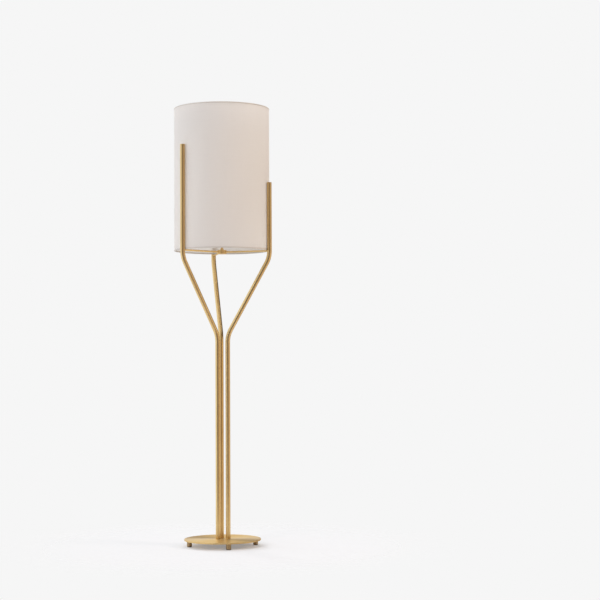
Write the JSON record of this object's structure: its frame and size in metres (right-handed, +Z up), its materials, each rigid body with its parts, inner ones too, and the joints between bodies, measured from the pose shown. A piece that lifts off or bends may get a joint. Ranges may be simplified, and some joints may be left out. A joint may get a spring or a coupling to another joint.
{
  "type": "tree floor lamp",
  "caption": "Floor lamp whose bent brass tubes rise from a round footed base, branch outwards and hold a tall cylindrical fabric shade between them.",
  "frame": {"origin": "on the floor, on the common axis of the base plate and the shade", "axes": "+Z up along the lamp's axis; -Y is the side that the picture shows, so azimuth 0 is its view"},
  "size_m": [0.3339, 0.3417, 1.4994],
  "materials": {
    "brass": "satin brushed along the tubes",
    "steel": "zinc plated",
    "pad": "matt",
    "black_plastic": "matt",
    "lead": "matt sheath",
    "ceramic": "glazed ceramic",
    "bulb_metal": "nickel plated",
    "bulb_insulator": "black glass",
    "bulb_body": "moulded",
    "opal": "opal diffuser",
    "shade_cotton": "plain woven off-white cotton",
    "shade_lining": "white laminate",
    "shade_trim": "folded cotton hem"
  },
  "bodies": {
    "stand": {"base_plate": "brass", "cord_bush": "black_plastic", "foot_back": "brass", "foot_front": "brass", "foot_left": "brass", "foot_pads": "pad", "foot_right": "brass", "foot_screws": "steel", "holder_cap": "brass", "holder_core": "ceramic", "holder_shell": "brass", "holder_sleeve": "brass", "holder_spring": "brass", "hub": "brass", "hub_cover": "brass", "inlet_nut": "steel", "inlet_tube": "steel", "inner_lead": "lead", "lead_joint": "black_plastic", "nipple": "brass", "nipple_nut": "steel", "rod_low": "brass", "rod_mid": "brass", "rod_tall": "brass", "stem_cap_low": "brass", "stem_cap_mid": "brass", "stem_cap_tall": "brass", "stem_insert_low": "steel", "stem_insert_mid": "steel", "stem_insert_tall": "steel", "stem_low": "brass", "stem_mid": "brass", "stem_screws": "steel", "stem_tall": "brass", "terminal_screws": "steel"},
    "shade": {"shade_fabric": "shade_cotton", "shade_liner": "shade_lining", "shade_trim_bottom": "shade_trim", "shade_trim_top": "shade_trim", "shade_wire_bottom": "steel", "shade_wire_top": "steel"},
    "bulb_thread": {"bulb_tip": "bulb_metal"},
    "bulb": {"bulb_cone": "bulb_insulator", "bulb_cap": "bulb_metal", "bulb_collar": "bulb_body", "bulb_globe": "opal"}
  },
  "joints": [
    {"name": "shade_lift", "type": "slide", "parent": "stand", "child": "shade", "axis": [0, 0, 1], "range_m": [0, 0.36]},
    {"name": "bulb_rise", "type": "slide", "parent": "stand", "child": "bulb_thread", "axis": [0, 0, 1], "range_m": [0, 0.0182]},
    {"name": "bulb_turn", "type": "hinge", "parent": "bulb_thread", "child": "bulb", "pos_m": [0, 0, 1.09], "axis": [0, 0, 1], "range_deg": [0, 1800]}
  ],
  "couplings": [
    {"joint": "bulb_rise", "follows": "bulb_turn", "m_per_rad": 0.00057757}
  ]
}
